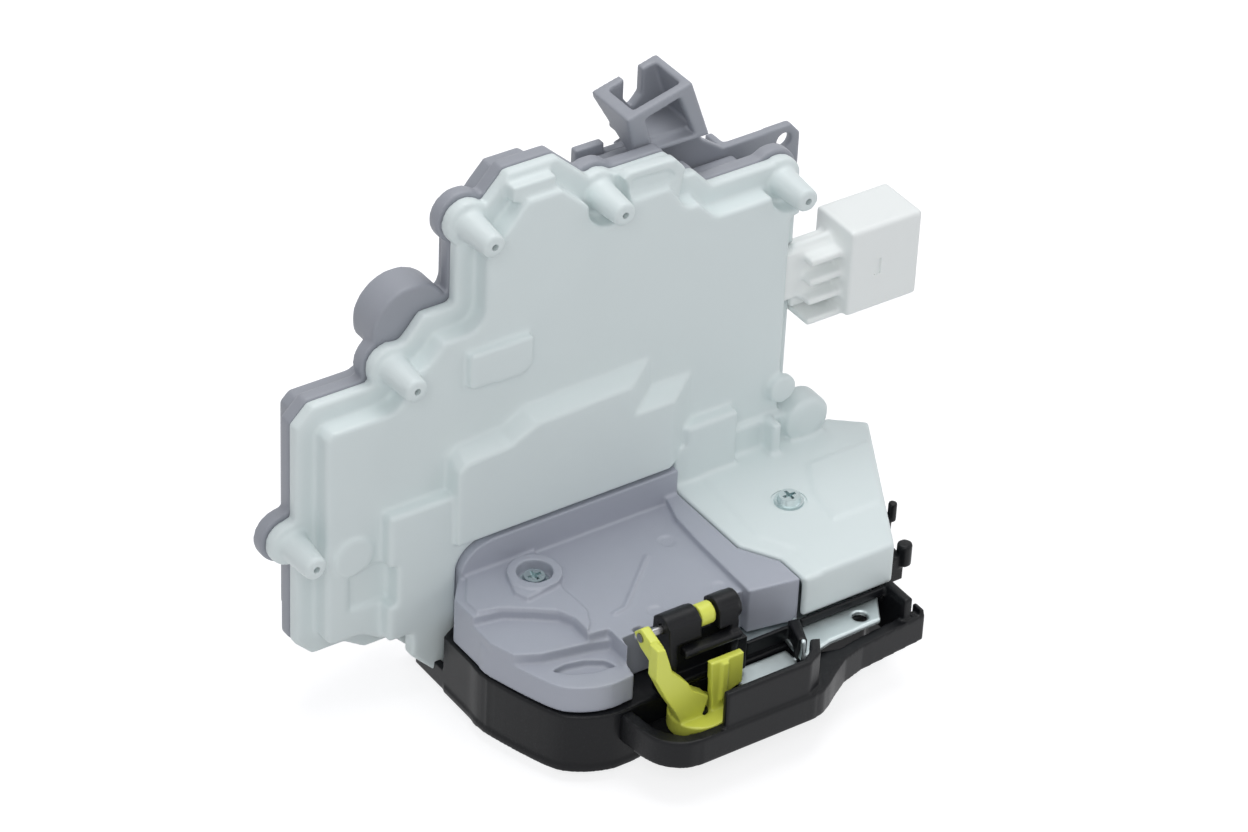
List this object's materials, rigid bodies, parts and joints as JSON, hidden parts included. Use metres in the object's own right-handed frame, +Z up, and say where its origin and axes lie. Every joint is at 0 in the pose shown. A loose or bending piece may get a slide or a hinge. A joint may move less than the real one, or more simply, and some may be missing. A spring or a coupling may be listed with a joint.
{
  "type": "door latch actuator",
  "caption": "Vehicle door latch with powered lock: flat two-part casing with worm drives on a steel-faced claw latch, handle coupling, cable bracket and side connector.",
  "frame": {"origin": "midway between the two threaded holes of the steel face plate, on its outer face", "axes": "-Z out of the face plate towards the door's end face; +Z up through the casing; -Y towards the front cover and the outside handle's coupling; +X towards the connector"},
  "size_m": [0.1867, 0.1034, 0.1436],
  "materials": {
    "white_plastic": "natural glass-filled nylon, moulded",
    "grey_plastic": "mid-grey glass-filled nylon, fine grain",
    "black_plastic": "black nylon, satin",
    "natural_plastic": "natural acetal",
    "yellow_plastic": "yellow acetal, satin",
    "red_plastic": "overmoulded plastic",
    "zinc_steel": "zinc-plated pressed steel",
    "bright_steel": "turned, bright",
    "spring_steel": "drawn wire",
    "screw_steel": "zinc-plated",
    "motor_can": "drawn can, plated",
    "brass": "machined",
    "tinned_copper": "tin-plated",
    "black_rubber": "moulded"
  },
  "bodies": {
    "casing": {"front_cover": "white_plastic", "rear_housing": "grey_plastic", "latch_cover": "grey_plastic", "latch_frame": "black_plastic", "face_plate": "zinc_steel", "back_plate": "zinc_steel", "guard_rail": "black_plastic", "claw_pin": "bright_steel", "pawl_pin": "bright_steel", "claw_spring": "spring_steel", "pawl_spring": "spring_steel", "striker_bumper": "black_rubber", "lock_motor": "motor_can", "lock_wheel_axle": "bright_steel", "lock_lever_pin": "bright_steel", "safe_motor": "motor_can", "safe_wheel_axle": "bright_steel", "safe_lever_pin": "bright_steel", "contact_carrier": "grey_plastic", "position_switches": "black_plastic", "connector_housing": "white_plastic", "connector_terminals": "tinned_copper", "cable_bracket": "grey_plastic", "inside_lever_pin": "bright_steel", "casing_screws": "screw_steel", "floor_screw": "screw_steel", "roof_screw": "screw_steel", "casing_seal": "black_rubber"},
    "claw": {"claw": "zinc_steel", "claw_jacket": "red_plastic"},
    "pawl": {"pawl": "zinc_steel", "pawl_jacket": "red_plastic"},
    "lock_worm": {"lock_worm": "brass", "lock_motor_shaft": "bright_steel"},
    "lock_wheel": {"lock_wheel": "natural_plastic"},
    "lock_lever": {"lock_lever": "black_plastic"},
    "safe_worm": {"safe_worm": "brass", "safe_motor_shaft": "bright_steel"},
    "safe_wheel": {"safe_wheel": "natural_plastic"},
    "safe_lever": {"safe_lever": "black_plastic"},
    "handle_coupling": {"handle_coupling": "yellow_plastic", "handle_lever_pin": "bright_steel"},
    "handle_lever": {"handle_lever": "black_plastic"},
    "inside_lever": {"inside_lever": "grey_plastic"}
  },
  "joints": [
    {"name": "claw_turn", "type": "hinge", "parent": "casing", "child": "claw", "pos_m": [-0.019, -0.002, 0.008], "axis": [0, 0, 1], "range_deg": [-62, 0], "stiffness_Nm_per_rad": 0.03, "springref_deg": 28.65},
    {"name": "pawl_turn", "type": "hinge", "parent": "casing", "child": "pawl", "pos_m": [0.017, 0.014, 0.008], "axis": [0, 0, 1], "range_deg": [-10, 0], "stiffness_Nm_per_rad": 0.02, "springref_deg": 17.19},
    {"name": "lock_wheel_turn", "type": "hinge", "parent": "casing", "child": "lock_wheel", "pos_m": [-0.038, 0.0379, 0.078], "axis": [0, 1, 0], "range_deg": [-38.57, 38.57]},
    {"name": "lock_worm_turn", "type": "hinge", "parent": "casing", "child": "lock_worm", "pos_m": [-0.038, 0.0379, 0.06035], "axis": [1, 0, 0], "range_deg": [-1081, 1081]},
    {"name": "lock_lever_turn", "type": "hinge", "parent": "casing", "child": "lock_lever", "pos_m": [-0.017, 0.045, 0.064], "axis": [0, 1, 0], "range_deg": [-21, 21]},
    {"name": "safe_wheel_turn", "type": "hinge", "parent": "casing", "child": "safe_wheel", "pos_m": [0.007, 0.0379, 0.076], "axis": [0, 1, 0], "range_deg": [-38.57, 38.57]},
    {"name": "safe_worm_turn", "type": "hinge", "parent": "casing", "child": "safe_worm", "pos_m": [0.007, 0.0379, 0.09365], "axis": [1, 0, 0], "range_deg": [-1081, 1081]},
    {"name": "safe_lever_turn", "type": "hinge", "parent": "casing", "child": "safe_lever", "pos_m": [0.036, 0.045, 0.062], "axis": [0, 1, 0], "range_deg": [-16, 16]},
    {"name": "coupling_turn", "type": "hinge", "parent": "casing", "child": "handle_coupling", "pos_m": [-0.01, -0.034, 0.015], "axis": [0, 0, 1], "range_deg": [-8, 8], "stiffness_Nm_per_rad": 0.03},
    {"name": "handle_lever_swing", "type": "hinge", "parent": "handle_coupling", "child": "handle_lever", "pos_m": [-0.008, -0.028, 0.0415], "axis": [1, 0, 0], "range_deg": [0, 12], "stiffness_Nm_per_rad": 0.02, "springref_deg": -5.73},
    {"name": "inside_lever_turn", "type": "hinge", "parent": "casing", "child": "inside_lever", "pos_m": [0.026, 0.0534, 0.113], "axis": [0, 1, 0], "range_deg": [0, 24], "stiffness_Nm_per_rad": 0.03, "springref_deg": -5.73}
  ],
  "couplings": [
    {"joint": "lock_worm_turn", "follows": "lock_wheel_turn", "ratio": 28},
    {"joint": "lock_lever_turn", "follows": "lock_wheel_turn", "ratio": -0.5315},
    {"joint": "safe_worm_turn", "follows": "safe_wheel_turn", "ratio": -28},
    {"joint": "safe_lever_turn", "follows": "safe_wheel_turn", "ratio": -0.3863}
  ]
}
